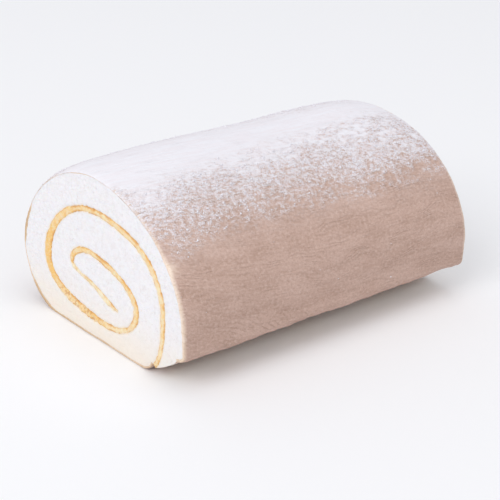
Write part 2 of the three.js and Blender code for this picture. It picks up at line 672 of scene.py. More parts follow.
@dataclass(frozen=True)
class CutRim:
    """The skin's own edge, as it shows round a cut: how wide it is and how brown, by the run."""

    width: Stations = (
        (0.0, 1.6), (12.0, 1.5), (46.0, 1.3), (66.0, 0.5), (92.0, 0.4), (112.0, 0.5), (122.0, 0.5),
        (132.0, 0.2), (168.0, 0.25), (176.0, 1.5), (190.0, 1.4), (198.0, 0.6), (208.0, 0.8), (217.0, 2.1),
        (227.0, 2.1), (236.0, 1.0), (315.0, 1.0),
    )
    brown: Stations = (
        (0.0, 0.5), (10.0, 0.3), (20.0, 0.15), (56.0, 0.0), (96.0, 0.0), (108.0, 0.3), (116.0, 0.6),
        (124.0, 0.5), (132.0, 0.0), (168.0, 0.1), (175.0, 1.0), (191.0, 1.0), (198.0, 0.4), (208.0, 0.5),
        (217.0, 1.0), (228.0, 1.0), (315.0, 0.6),
    )
    width_stray: Bumps = Bumps(151, 0.4, (5.0, 1.0), 3, (0.0, 2.5))
    brown_stray: Bumps = Bumps(152, 0.25, (4.0, 1.0), 3, (0.0, 7.5))

    def width_at(self, run: Array) -> Array:
        """Gives the width in millimetres at some runs."""
        return eased(self.width, run) * (1 + self.width_stray.at(run))

    def brown_at(self, run: Array) -> Array:
        """Gives how brown the edge is at some runs, from 0 to 1."""
        return np.clip(eased(self.brown, run) + self.brown_stray.at(run), 0.0, 1.0)


@dataclass
class MeshDraft:
    """Points and faces that are gathered before they become a mesh."""

    points: list[Array] = field(default_factory=list)
    faces: list[list[int]] = field(default_factory=list)
    values: dict[str, list[Array]] = field(default_factory=dict)
    count: int = 0

    def add_points(self, points: Array, **values: Array | float) -> Array:
        """Adds points.

        Args:
            points: The points (x, y, z) in metres, in an array of any shape.
            **values: A value for each point, under the name that the finish reads.

        Returns:
            The new points' numbers, in the same shape.
        """
        flat = points.reshape(-1, 3)
        numbers = np.arange(self.count, self.count + len(flat)).reshape(points.shape[:-1])
        self.points.append(flat)
        self.count += len(flat)
        for name, value in values.items():
            spread = np.broadcast_to(value, points.shape[:-1]).reshape(-1)
            self.values.setdefault(name, []).append(spread)
        return numbers

    def add_grid(self, numbers: Array, flipped: bool = False) -> None:
        """Joins a grid of points with quads.

        Args:
            numbers: The points' numbers, in rows and columns.
            flipped: Turns the faces over.
        """
        a, b, c, d = numbers[:-1, :-1], numbers[1:, :-1], numbers[1:, 1:], numbers[:-1, 1:]
        corners = (d, c, b, a) if flipped else (a, b, c, d)
        self.faces.extend(np.stack(corners, -1).reshape(-1, 4).tolist())

    def add_strip(self, first: Array, second: Array, flipped: bool = False) -> None:
        """Joins two rows of points of different counts with triangles.

        Args:
            first: The numbers of one row.
            second: The numbers of the other row, which runs the same way.
            flipped: Turns the faces over.
        """
        i, j = 0, 0
        while i < len(first) - 1 or j < len(second) - 1:
            ahead_first = (i + 1) / (len(first) - 1)
            ahead_second = (j + 1) / (len(second) - 1)
            if j == len(second) - 1 or (i < len(first) - 1 and ahead_first <= ahead_second):
                corners = [first[i], first[i + 1], second[j]]
                i += 1
            else:
                corners = [first[i], second[j + 1], second[j]]
                j += 1
            self.faces.append([int(k) for k in (corners[::-1] if flipped else corners)])

    def add_faces(self, faces: list[list[int]], numbers: Array, flipped: bool = False) -> None:
        """Adds faces that count from 0 in a list of points.

        Args:
            faces: The faces.
            numbers: The number of each point that they count.
            flipped: Turns the faces over.
        """
        for face in faces:
            corners = [int(numbers[k]) for k in face]
            self.faces.append(corners[::-1] if flipped else corners)

    def build(self, name: str, finish: bpy.types.Material, crease_deg: float = 60.0) -> bpy.types.Object:
        """Makes the mesh and its object.

        Args:
            name: The piece's name.
            finish: The piece's material.
            crease_deg: Edges sharper than this stay sharp.

        Returns:
            The new object, at the origin.
        """
        mesh = bpy.data.meshes.new(name)
        mesh.from_pydata(np.concatenate(self.points).tolist(), [], self.faces)
        mesh.validate()
        for key, parts in self.values.items():
            layer = mesh.attributes.new(key, "FLOAT", "POINT")
            layer.data.foreach_set("value", np.concatenate(parts).astype(np.float32))
        mesh.shade_smooth()
        mesh.set_sharp_from_angle(angle=math.radians(crease_deg))
        mesh.materials.append(finish)
        piece = bpy.data.objects.new(name, mesh)
        bpy.context.scene.collection.objects.link(piece)
        return piece


class Recipe:
    """A material's node tree while it is being put together."""

    def __init__(self, name: str) -> None:
        """Starts a material with a Principled shader.

        Args:
            name: The material's name.
        """
        self.material = bpy.data.materials.new(name)
        self.material.use_nodes = True
        self.nodes = self.material.node_tree.nodes
        self.links = self.material.node_tree.links
        self.shader = self.nodes["Principled BSDF"]

    def node(self, kind: str, inputs: dict[str, object] | None = None, **settings: object) -> bpy.types.Node:
        """Adds a node.

        Args:
            kind: The node's type.
            inputs: Values or sockets for its inputs, by name.
            **settings: Its own properties.

        Returns:
            The new node.
        """
        made = self.nodes.new(kind)
        for name, value in settings.items():
            setattr(made, name, value)
        for name, value in (inputs or {}).items():
            self.feed(made.inputs[name], value)
        return made

    def feed(self, socket: Socket, value: object) -> None:
        """Sets an input to a value, or links it to a socket.

        Args:
            socket: The input.
            value: The value, or the socket that gives it.
        """
        if isinstance(value, Socket):
            self.links.new(value, socket)
        else:
            socket.default_value = value

    def place(self) -> Socket:
        """Gives the cake's own coordinates, in metres."""
        return self.node("ShaderNodeTexCoord").outputs["Object"]

    def stored(self, name: str) -> Socket:
        """Reads a value that the mesh holds for each point."""
        return self.node("ShaderNodeAttribute", attribute_name=name).outputs["Fac"]

    def noise(self, size_mm: float, detail: float = 2.0, roughness: float = 0.5) -> Socket:
        """Adds noise from 0 to 1.

        Args:
            size_mm: The size of its largest blobs.
            detail: How many finer sizes it adds.
            roughness: How strong those are.

        Returns:
            The noise's value.
        """
        scale = 1.0 / (size_mm * MM)
        inputs = {"Vector": self.place(), "Scale": scale, "Detail": detail, "Roughness": roughness}
        return self.node("ShaderNodeTexNoise", inputs).outputs["Fac"]

    def grain(self, length_mm: float, width_mm: float, detail: float, roughness: float) -> Socket:
        """Adds noise from 0 to 1 that runs with the skin's grain.

        Args:
            length_mm: How long its largest blobs are along the grain.
            width_mm: How wide they are across it.
            detail: How many finer sizes it adds.
            roughness: How strong those are.

        Returns:
            The noise's value.
        """
        along = self.maths("DIVIDE", self.stored("along"), length_mm)
        across = self.maths("DIVIDE", self.stored("across"), width_mm)
        place = self.node("ShaderNodeCombineXYZ", {"X": along, "Y": across}).outputs["Vector"]
        inputs = {"Vector": place, "Scale": 1.0, "Detail": detail, "Roughness": roughness}
        return self.node("ShaderNodeTexNoise", inputs, noise_dimensions="2D").outputs["Fac"]

    def cells(self, size_mm: float) -> Socket:
        """Adds cells, and gives the distance to the nearest cell's middle."""
        inputs = {"Vector": self.place(), "Scale": 1.0 / (size_mm * MM)}
        return self.node("ShaderNodeTexVoronoi", inputs).outputs["Distance"]

    def between(
        self, value: Socket, low: float, high: float, start: float = 0.0, end: float = 1.0
    ) -> Socket:
        """Eases a value from one range into another.

        Args:
            value: The value.
            low: Where the old range starts.
            high: Where the old range ends.
            start: Where the new range starts.
            end: Where the new range ends.

        Returns:
            The new value.
        """
        inputs = {"Value": value, "From Min": low, "From Max": high, "To Min": start, "To Max": end}
        return self.node("ShaderNodeMapRange", inputs, interpolation_type="SMOOTHSTEP").outputs["Result"]

    def maths(self, kind: str, first: object, second: object = 0.0) -> Socket:
        """Works out one value from two, such as their sum.

        Args:
            kind: The operation.
            first: The first value, or the socket that gives it.
            second: The second value, or the socket that gives it.

        Returns:
            The result.
        """
        made = self.node("ShaderNodeMath", operation=kind)
        self.feed(made.inputs[0], first)
        self.feed(made.inputs[1], second)
        return made.outputs["Value"]

    def blend(self, share: object, first: object, second: object) -> Socket:
        """Mixes two colours.

        Args:
            share: How much of the second one.
            first: The first colour, or a socket that gives it.
            second: The second colour, or a socket that gives it.

        Returns:
            The mixed colour.
        """
        made = self.node("ShaderNodeMix", data_type="RGBA")
        for name, value in (("Factor", share), ("A", first), ("B", second)):
            kind = "VALUE" if name == "Factor" else "RGBA"
            socket = next(s for s in made.inputs if s.name == name and s.type == kind)
            self.feed(socket, (*value, 1.0) if isinstance(value, tuple) else value)
        return next(s for s in made.outputs if s.type == "RGBA")

    def tint(
        self, colour: object, value: Socket, low: float, high: float, strength: float, other: object
    ) -> Socket:
        """Mixes another colour in as a value goes from low to high.

        Args:
            colour: The colour so far.
            value: The value that brings the other colour in.
            low: Where the other colour starts to show.
            high: Where it is strongest.
            strength: How strong it is there.
            other: The other colour.

        Returns:
            The mixed colour.
        """
        return self.blend(self.between(value, low, high, 0.0, strength), colour, other)

    def emboss(self, height: Socket, depth_mm: float, below: Socket | None = None) -> Socket:
        """Adds fine relief.

        Args:
            height: The relief, from 0 to 1.
            depth_mm: How deep it is.
            below: The normal of coarser relief that it is added to.

        Returns:
            The new normal.
        """
        inputs = {"Height": height, "Distance": depth_mm * MM, "Strength": 1.0}
        if below is not None:
            inputs["Normal"] = below
        return self.node("ShaderNodeBump", inputs).outputs["Normal"]

    def finish(self, **inputs: object) -> bpy.types.Material:
        """Sets the shader's inputs, with _ for spaces in their names.

        Args:
            **inputs: Values or sockets.

        Returns:
            The finished material.
        """
        for name, value in inputs.items():
            plain_colour = name == "Base_Color" and isinstance(value, tuple)
            self.feed(self.shader.inputs[name.replace("_", " ")], (*value, 1.0) if plain_colour else value)
        return self.material


@dataclass(frozen=True)
class CrumbFinish:
    """The cut sponge: fine white crumb with small pores, painted shade in its hollows and pores, creamier
    near the base (with a painted warm reflection there) and by the custard.
    """

    crumb: Colour = (0.875, 0.86, 0.875)
    # Painted shade: the darker mottled crumb that stands for the shade in its hollows.
    hollow_shade: Colour = (0.79, 0.75, 0.745)
    # Painted shade: the dark dots where shade falls in the pores.
    pore_shade: Colour = (0.66, 0.57, 0.52)
    # Creamier crumb near the base, with a painted warm reflection from below mixed in.
    base_cream_and_bounce: Colour = (0.91, 0.81, 0.67)
    soaked: Colour = (0.93, 0.79, 0.58)
    crust: Colour = (0.58, 0.39, 0.29)

    def build(self) -> bpy.types.Material:
        """Builds the material.

        Returns:
            The material.
        """
        recipe = Recipe("sponge_crumb")
        mottle = recipe.noise(2.6, 4.0, 0.6)
        grain = recipe.noise(0.55, 2.0, 0.6)
        pores = recipe.cells(0.9)
        stray = recipe.between(mottle, 0.3, 0.7, -0.3, 0.3)
        height = recipe.node("ShaderNodeSeparateXYZ", {"Vector": recipe.place()}).outputs["Z"]
        soak = recipe.maths("ADD", recipe.stored("to_custard"), stray)
        crust = recipe.maths("ADD", recipe.stored("crust"), stray)
        # Darker mottled patches: painted shade in the crumb's hollows.
        colour = recipe.tint(self.crumb, mottle, 0.42, 0.72, 0.5, self.hollow_shade)
        # Small dark dots: painted shade in the pores.
        colour = recipe.tint(colour, pores, 0.24, 0.1, 0.5, self.pore_shade)
        # Warmer and creamier below 30 mm: the crumb's own creamier lower layer together with a painted warm
        # reflection from below.
        colour = recipe.tint(colour, height, 0.030, -0.004, 0.75, self.base_cream_and_bounce)
        colour = recipe.tint(colour, soak, 1.0, 0.2, 0.5, self.soaked)
        colour = recipe.tint(colour, crust, 0.35, 0.75, 1.0, self.crust)
        relief = recipe.emboss(grain, 0.10)
        relief = recipe.emboss(recipe.between(pores, 0.1, 0.35), 0.10, relief)
        return recipe.finish(
            Base_Color=colour, Roughness=0.9, Normal=relief, Specular_IOR_Level=0.25,
            Subsurface_Weight=0.12, Subsurface_Radius=(0.0035, 0.0022, 0.0014), Subsurface_Scale=1.0,
        )


@dataclass(frozen=True)
class SkinFinish:
    """The browned skin, finely grained along the roll, under a film of powdered sugar."""

    brown: Colour = (0.535, 0.36, 0.29)
    pale: Colour = (0.635, 0.445, 0.37)
    light: Colour = (0.73, 0.56, 0.485)
    dark: Colour = (0.36, 0.225, 0.165)
    rim_pale: Colour = (0.94, 0.79, 0.67)
    rim_brown: Colour = (0.56, 0.34, 0.13)
    sugar: Colour = (0.88, 0.868, 0.91)
    thin_sugar: Colour = (0.86, 0.79, 0.82)
    line_period_mm: float = 1.9
    line_wander_mm: float = 7.0

    def wavy_lines(self, recipe: Recipe) -> Socket:
        """Draws broken wavy lines along the roll.

        Args:
            recipe: The material that they are drawn in.

        Returns:
            Their height, from -1 to 1.
        """
        wander = recipe.between(recipe.grain(34.0, 11.0, 2.0, 0.5), 0.2, 0.8, 0.0, self.line_wander_mm)
        across = recipe.maths("ADD", recipe.stored("across"), wander)
        phase = recipe.maths("MULTIPLY", across, FULL_TURN / self.line_period_mm)
        shown = recipe.between(recipe.grain(15.0, 6.0, 2.0, 0.5), 0.35, 0.65)
        return recipe.maths("MULTIPLY", recipe.maths("SINE", phase), shown)

    def bare(self, recipe: Recipe, streaks: Socket, crumbs: Socket, pits: Socket, lines: Socket) -> Socket:
        """Colours the skin without its sugar.

        Args:
            recipe: The material.
            streaks: Streaks along the grain.
            crumbs: Small crumbs.
            pits: Fine pits.
            lines: The wavy lines.

        Returns:
            The colour.
        """
        patches = recipe.grain(24.0, 10.0, 3.0, 0.55)
        colour = recipe.blend(recipe.between(patches, 0.3, 0.7, 0.1, 0.85), self.brown, self.pale)
        colour = recipe.tint(colour, streaks, 0.5, 0.7, 0.32, self.pale)
        colour = recipe.tint(colour, streaks, 0.47, 0.3, 0.22, self.dark)
        colour = recipe.tint(colour, lines, 0.0, 1.0, 0.24, self.dark)
        colour = recipe.tint(colour, crumbs, 0.48, 0.28, 0.3, self.dark)
        colour = recipe.tint(colour, crumbs, 0.5, 0.72, 0.48, self.light)
        colour = recipe.tint(colour, pits, 0.56, 0.72, 0.42, self.dark)
        # The crease depth darkens the skin there: painted shade in the creases.
        colour = recipe.tint(colour, recipe.stored("crease"), 0.0, 1.0, 0.6, self.dark)
        edge = recipe.blend(recipe.stored("toast"), self.rim_pale, self.rim_brown)
        edge = recipe.tint(edge, crumbs, 0.5, 0.3, 0.35, self.rim_brown)
        return recipe.blend(recipe.stored("rim"), colour, edge)

    def build(self) -> bpy.types.Material:
        """Builds the material.

        Returns:
            The material.
        """
        recipe = Recipe("browned_skin")
        streaks = recipe.grain(17.0, 1.7, 4.0, 0.65)
        crumbs = recipe.grain(1.5, 1.1, 3.0, 0.65)
        pits = recipe.grain(0.7, 0.5, 2.0, 0.6)
        lines = self.wavy_lines(recipe)
        clumps = recipe.grain(1.9, 1.4, 3.0, 0.65)
        grains = recipe.grain(0.48, 0.42, 1.0, 0.5)
        cover = recipe.stored("sugar")
        play = recipe.maths("MULTIPLY", recipe.between(cover, 0.0, 0.35), recipe.between(cover, 1.0, 0.65))
        clump_stray = recipe.between(clumps, 0.25, 0.75, -0.36, 0.36)
        grain_stray = recipe.between(grains, 0.25, 0.75, -0.3, 0.3)
        stray = recipe.maths("MULTIPLY", play, recipe.maths("ADD", clump_stray, grain_stray))
        white = recipe.between(recipe.maths("ADD", cover, stray), -0.02, 1.02)
        powder = recipe.tint(self.sugar, streaks, 0.4, 0.6, 1.0, self.thin_sugar)
        powder = recipe.tint(powder, cover, 0.45, 0.95, 0.6, self.sugar)
        colour = recipe.blend(white, self.bare(recipe, streaks, crumbs, pits, lines), powder)
        relief = recipe.emboss(streaks, 0.2)
        relief = recipe.emboss(lines, -0.07, relief)
        relief = recipe.emboss(crumbs, 0.17, relief)
        relief = recipe.emboss(pits, -0.08, relief)
        relief = recipe.emboss(recipe.maths("MULTIPLY", clumps, play), 0.6, relief)
        relief = recipe.emboss(recipe.maths("MULTIPLY", grains, white), 0.07, relief)
        roughness = recipe.between(white, 0.0, 1.0, 0.62, 0.95)
        return recipe.finish(Base_Color=colour, Roughness=roughness, Normal=relief, Specular_IOR_Level=0.3)


@dataclass(frozen=True)
class CustardFinish:
    """The custard: orange yellow and moist, warmer in some turns, with darker ragged edges."""

    light: Colour = (0.91, 0.72, 0.44)
    warm: Colour = (0.89, 0.54, 0.16)
    toasted: Colour = (0.80, 0.42, 0.11)
    scorched: Colour = (0.62, 0.27, 0.07)
    cream: Colour = (0.95, 0.88, 0.68)

    def build(self) -> bpy.types.Material:
        """Builds the material.

        Returns:
            The material.
        """
        recipe = Recipe("set_custard")
        patches = recipe.noise(3.4, 3.0, 0.6)
        grain = recipe.noise(0.8, 3.0, 0.6)
        warmth = recipe.maths("ADD", recipe.stored("warmth"), recipe.between(patches, 0.3, 0.7, -0.4, 0.4))
        colour = recipe.tint(self.light, warmth, -0.1, 1.1, 1.0, self.warm)
        colour = recipe.tint(colour, warmth, 0.0, -1.0, 0.9, self.cream)
        colour = recipe.tint(colour, grain, 0.5, 0.7, 0.4, self.cream)
        broad_stray = recipe.between(recipe.noise(5.5, 4.0, 0.65), 0.36, 0.64, -0.5, 0.5)
        fine_stray = recipe.between(grain, 0.3, 0.7, -0.15, 0.15)
        stray = recipe.maths("ADD", broad_stray, fine_stray)
        edge = recipe.maths("ADD", recipe.stored("to_edge"), stray)
        baked = recipe.between(warmth, 0.25, -0.65, 1.0, 0.15)
        for low, high, strength, tone in ((0.95, 0.1, 0.8, self.toasted), (0.25, -0.35, 0.7, self.scorched)):
            share = recipe.maths("MULTIPLY", recipe.between(edge, low, high, 0.0, strength), baked)
            colour = recipe.blend(share, colour, tone)
        colour = recipe.tint(colour, recipe.stored("furrow"), 0.0, 1.0, 0.6, self.scorched)
        return recipe.finish(
            Base_Color=colour, Roughness=0.42, Normal=recipe.emboss(grain, 0.15),
            Subsurface_Weight=0.15, Subsurface_Radius=(0.003, 0.0015, 0.0006), Subsurface_Scale=1.0,
        )


@dataclass(frozen=True)
class SugarFinish:
    """Clumps of powdered sugar."""

    sugar: Colour = (0.88, 0.868, 0.91)
    shade: Colour = (0.83, 0.805, 0.855)

    def build(self) -> bpy.types.Material:
        """Builds the material.

        Returns:
            The material.
        """
        recipe = Recipe("powdered_sugar")
        grain = recipe.noise(0.3, 2.0)
        colour = recipe.tint(self.sugar, grain, 0.3, 0.7, 0.6, self.shade)
        return recipe.finish(Base_Color=colour, Roughness=0.95, Normal=recipe.emboss(grain, 0.08))


@dataclass
class SlicedPiece(ABC):
    """A piece that runs through the whole roll and shows at both of its cuts."""

    roll: Roll
    finish: bpy.types.Material

    @abstractmethod
    def spacing_at(self, cut: Cut) -> float:
        """Gives the distance between the points of a cut."""

    @abstractmethod
    def dress(self, cut: Cut, points: Array, loop: Array) -> tuple[Array, dict[str, Array | float]]:
        """Works out the relief of a cut, and the values that the finish reads there.

        Args:
            cut: Which end of the roll.
            points: The points (u, v) of the cut, one a row.
            loop: The outline's points.

        Returns:
            How far each point stands out, and its values by name.
        """

    def add_slice(self, draft: MeshDraft, loop: Array, wall: Array, mesh_seed: int, **values: float) -> None:
        """Adds both cuts and the walls between them.

        Args:
            draft: The mesh that they are added to.
            loop: The outline's points at the cuts.
            wall: The same points between the cuts.
            mesh_seed: Added to the cut's own seed where its points are jittered.
            **values: What the finish reads on the walls.
        """
        rings: dict[Cut, Array] = {}
        for cut in Cut:
            points, triangles = triangulated(loop, self.spacing_at(cut), cut.value + mesh_seed)
            height, cut_values = self.dress(cut, points, loop)
            behind = self.roll.cut_behind(cut, points, height)
            numbers = draft.add_points(self.roll.place(points, behind), **cut_values)
            draft.add_faces(triangles, numbers, flipped=cut is Cut.BACK)
            rings[cut] = numbers[: len(loop)]
        stations = self.roll.wall_stations()
        section = np.repeat(wall[:, None], len(stations), axis=1)
        walls = draft.add_points(self.roll.place(section, stations[None, :]), **values)
        grid = np.concatenate([rings[Cut.FRONT][:, None], walls, rings[Cut.BACK][:, None]], axis=1)
        draft.add_grid(np.concatenate([grid, grid[:1]]), flipped=True)


@dataclass(frozen=True)
class FlapCrumb:
    """The closed strip of fine crumb over the flap's end, from cut to cut."""

    bow: float = 0.5
    across_points: int = 30
    along_points: int = 250
    margin: float = 0.9
    bumps: Bumps = Bumps(27, 0.45, (3.4, 4.1), 3)
    large_pores: Pores = Pores(27, 0.6, 2.3, 0.4, (0.0, 5.0))
    small_pores: Pores = Pores(27, 0.3, 1.3, 0.45, (9.0, 0.0))
    level: Window = Window(0.0, 0.12, 0.9, 1.0)
    soaked: float = 0.45
    soaked_slope: float = 0.04
    soaked_stray: Bumps = Bumps(27, 0.45, (6.0, 9.0), 3, (3.0, 0.0))
    crust_from: Pair = (0.55, 1.0)
    crust_stray: Bumps = Bumps(27, 0.16, (5.0, 7.0), 3, (0.0, 2.0))
    lining_depth: float = 1.5
    lining_gap: float = 0.02

    def end(self, lip: Array, foot: Array, share: Array, height: Array | float) -> Array:
        """Gives points of the flap's end, which bows out a little between its lip and its foot.

        Args:
            lip: Where the end meets the custard.
            foot: Where it meets the browned skin.
            share: How far from the lip to the foot.
            height: How far the points stand out from the end.

        Returns:
            The points (u, v).
        """
        along = foot - lip
        outwards = np.array([along[1], -along[0]]) / np.linalg.norm(along)
        bow = self.bow * np.sin(math.pi * share) + height
        return lip + along * share[..., None] + outwards * bow[..., None]

    def add_to(self, draft: MeshDraft, roll: Roll, lip: Array) -> None:
        """Adds the strip.

        Args:
            draft: The mesh that it is added to.
            roll: The roll's form.
            lip: Where the flap's end meets the custard.
        """
        foot = np.array(roll.flap_foot)
        across = np.linspace(0.0, 1.0, self.across_points)
        stations = np.linspace(self.margin, roll.length - self.margin, self.along_points)
        share, behind = np.meshgrid(across, stations, indexing="ij")
        reach = share * np.linalg.norm(foot - lip)
        height = self.bumps.at(reach, behind)
        height -= self.large_pores.at(reach, behind) + self.small_pores.at(reach, behind)
        height *= self.level.at(share)
        soaked = self.soaked + self.soaked_slope * reach + self.soaked_stray.at(reach, behind)
        crust = smooth_step(*self.crust_from, share + self.crust_stray.at(behind, reach))
        under = -self.lining_depth * np.sin(math.pi * share) - self.lining_gap
        outer = draft.add_points(
            roll.place(self.end(lip, foot, share, height), behind), to_custard=soaked, crust=crust
        )
        inner = draft.add_points(
            roll.place(self.end(lip, foot, share, under), behind), to_custard=reach, crust=0.0
        )
        draft.add_grid(outer)
        draft.add_grid(inner, flipped=True)
        rims = [np.r_[part[0], part[1:, -1], part[-1, -2::-1], part[-2:0:-1, 0]] for part in (outer, inner)]
        ring = np.stack(rims, axis=1)
        draft.add_grid(np.concatenate([ring, ring[:1]]))


@dataclass
class SpongeCrumb(SlicedPiece):
    """The white sponge: both cut ends, the walls of the custard's slot and the cut end of the flap."""

    rim: CutRim
    flap: FlapCrumb = FlapCrumb()
    front_spacing: float = 0.56
    back_spacing: float = 0.7
    outline_spacing: float = 0.8
    slot_spacing: float = 0.5
    slot_tip: float = 0.004
    flap_steps: int = 16
    flap_inset: float = 0.9
    bumps: Bumps = Bumps(2, 0.09, (1.5, 1.5))
    large_pores: Pores = Pores(2, 0.3, 2.3, 0.35)
    small_pores: Pores = Pores(1, 0.22, 1.35, 0.45, (7.7, 0.0))
    rim_reach: float = 0.9
    rim_relief: float = 0.3
    rim_sink: float = 0.14
    slot_reach: float = 1.3
    slot_sink: float = 0.3
    wall_to_custard: float = 9.0

    def section(self) -> tuple[Array, slice]:
        """Draws the section of the sponge under its skin.

        Returns:
            The outline, anticlockwise, and where the slot's points are in it.
        """
        roll = self.roll
        swirl = roll.swirl
        runs = np.linspace(0.0, roll.skin_length, int(roll.skin_length / self.outline_spacing))
        hull = roll.skin_point(runs) - roll.skin_outwards(runs) * self.rim.width_at(runs)[:, None]
        turns = swirl.even_turns(self.slot_spacing)
        outer, inner = swirl.ragged_edge(turns, 1), swirl.ragged_edge(turns, -1)
        tip = swirl.middle(np.array([swirl.inner_end + self.slot_tip]))
        steps = np.linspace(0.0, 1.0, self.flap_steps)[1:-1]
        flap_end = self.flap.end(outer[0], np.array(roll.flap_foot), steps, 0.0)
        loop = np.concatenate([hull[1:-1], inner, tip, outer[::-1], flap_end])
        start = len(hull) - 2
        return loop, slice(start, start + 2 * len(turns) + 1)

    def spacing_at(self, cut: Cut) -> float:
        """Gives the distance between the points of a cut."""
        return self.front_spacing if cut is Cut.FRONT else self.back_spacing

    def dress(self, cut: Cut, points: Array, loop: Array) -> tuple[Array, dict[str, Array | float]]:
        """Works out how far the crumb stands out from the knife's cut.

        Args:
            cut: Which end of the roll.
            points: The points (u, v), one a row.
            loop: The outline's points.

        Returns:
            The height of each point in millimetres, and the values that the finish reads.
        """
        slot = self.section()[1]
        to_slot, to_rim = distance_to(points, loop[slot]), distance_to(points, loop[: slot.start])
        u, v = points[:, 0], points[:, 1]
        height = self.bumps.at(u, v, cut.value)
        height -= self.large_pores.at(u, v, cut.value) + self.small_pores.at(u, v, cut.value)
        clear_of_rim = smooth_step(0.0, self.rim_reach, to_rim)
        height *= self.rim_relief + (1.0 - self.rim_relief) * clear_of_rim
        height -= self.slot_sink * (1 - smooth_step(0.0, self.slot_reach, to_slot))
        height -= self.rim_sink * (1 - clear_of_rim)
        return height, {"to_custard": to_slot, "crust": 0.0}

    def build(self) -> bpy.types.Object:
        """Builds the piece.

        Returns:
            The piece.
        """
        loop, slot = self.section()
        wall = loop.copy()
        wall[slot.stop :, 1] += self.flap_inset
        draft = MeshDraft()
        self.add_slice(draft, loop, wall, 0, to_custard=self.wall_to_custard, crust=0.0)
        self.flap.add_to(draft, self.roll, loop[slot.stop - 1])
        piece = draft.build("sponge_crumb", self.finish)
        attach(piece, "root")
        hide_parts("sponge")
        return piece


@dataclass
class CustardFilling(SlicedPiece):
    """The custard, which stands a little proud of both cuts."""

    spacing: float = 0.45
    face_spacing: float = 0.42
    fine_spacing: float = 0.2
    overlap: float = 0.08
    tip: float = 0.005
    mesh_seed: int = 60
    torn_in_front: Window = Window(0.57, 0.64, 0.71, 0.79)
    torn_at_back: Window = Window(1.0, 1.07, 1.06, 1.14)
    flecks: Bumps = Bumps(3, 1.0, (0.95, 1.35), 2, (0.0, 3.5))
    fleck_slant: float = 0.45
    fleck_from: Pair = (0.0, 0.6)
    fleck_depth: float = 0.45
    bulge: float = 0.32
    bulge_reach: float = 0.9
    sink: float = 0.22
    smears: Bumps = Bumps(60, 0.22, (1.9, 1.9))
    wall_warmth: float = 0.5
    warmth: Stations = (
        (-0.105, 0.2), (0.12, 0.2), (0.26, 0.4), (0.36, 0.5), (0.44, 1.05), (0.56, 1.05), (0.64, 0.3),
        (0.74, 0.7), (0.83, -0.1), (0.95, 0.3), (1.12, 0.4), (1.24, 0.45), (1.33, 0.45), (1.42, 0.6),
        (1.51, 0.5), (1.56, -0.8), (1.63, -0.45), (1.71, -0.25), (1.82, -0.3), (1.93, -0.5),
    )

    def furrows(self, points: Array, turns: Array, cut: Cut) -> Array:
        """Works out the furrows that the knife has torn across the custard in one place.

        Args:
            points: The points (u, v), one a row.
            turns: Where along the swirl each of them lies.
            cut: Which end of the roll.

        Returns:
            How deep each point lies in a furrow, from 0 to 1.
        """
        swirl = self.roll.swirl
        middle = swirl.middle(turns)
        outwards = swirl.edge(turns, 1) - middle
        across = np.sum((points - middle) * outwards, axis=1) / np.linalg.norm(outwards, axis=1)
        torn = self.torn_in_front if cut is Cut.FRONT else self.torn_at_back
        slant = swirl.length_to(turns) + self.fleck_slant * across
        return torn.at(turns) * smooth_step(*self.fleck_from, self.flecks.at(slant, across, cut.value))

    def spacing_at(self, cut: Cut) -> float:
        """Gives the distance between the points of a cut."""
        return self.face_spacing

    def dress(self, cut: Cut, points: Array, loop: Array) -> tuple[Array, dict[str, Array | float]]:
        """Works out how far the cut custard stands out.

        Args:
            cut: Which end of the roll.
            points: The points (u, v), one a row.
            loop: The outline's points.

        Returns:
            The height of each point in millimetres, and the values that the finish reads.
        """
        swirl = self.roll.swirl
        fine_turns = swirl.even_turns(self.fine_spacing)
        turns = fine_turns[nearest(points, swirl.middle(fine_turns))[0]]
        to_edge = distance_to(points, loop, closed=True)
        furrows = self.furrows(points, turns, cut)
        height = self.bulge * smooth_step(0.0, self.bulge_reach, to_edge) - self.sink
        height += self.smears.at(points[:, 0], points[:, 1], cut.value) - self.fleck_depth * furrows
        return height, {"to_edge": to_edge, "warmth": eased(self.warmth, turns), "furrow": furrows}

    def build(self) -> bpy.types.Object:
        """Builds the piece.

        Returns:
            The piece.
        """
        swirl = self.roll.swirl
        turns = swirl.even_turns(self.spacing)
        outer, inner = (swirl.ragged_edge(turns, side, self.overlap) for side in (1, -1))
        tip = swirl.middle(np.array([swirl.inner_end + self.tip]))
        loop = np.concatenate([outer, tip, inner[::-1]])
        draft = MeshDraft()
        self.add_slice(draft, loop, loop, self.mesh_seed, to_edge=0.0, warmth=self.wall_warmth, furrow=0.0)
        piece = draft.build("custard_filling", self.finish)
        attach(piece, "root")
        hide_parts("custard")
        return piece


